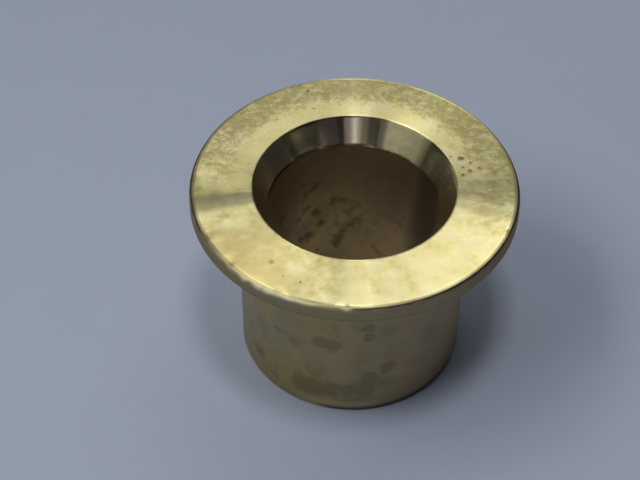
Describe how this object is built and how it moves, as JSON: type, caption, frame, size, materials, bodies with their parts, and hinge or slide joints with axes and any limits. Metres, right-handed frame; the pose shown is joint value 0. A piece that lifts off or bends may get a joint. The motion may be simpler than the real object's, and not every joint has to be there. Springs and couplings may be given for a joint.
{
  "type": "flanged bushing",
  "caption": "Short brass sleeve bushing with a wide, thin end flange, a plain through bore and a countersunk mouth in the flange face.",
  "frame": {"origin": "centre of the foot face, the sleeve's free end", "axes": "+Z along the bore axis, from the foot towards the flange; X and Y are any two square directions across the bore"},
  "size_m": [0.048, 0.048, 0.0315],
  "materials": {
    "brass": "bright turned flange face and countersink, dull stained bore and sleeve"
  },
  "bodies": {
    "root": {"flanged_bushing": "brass"}
  },
  "joints": []
}
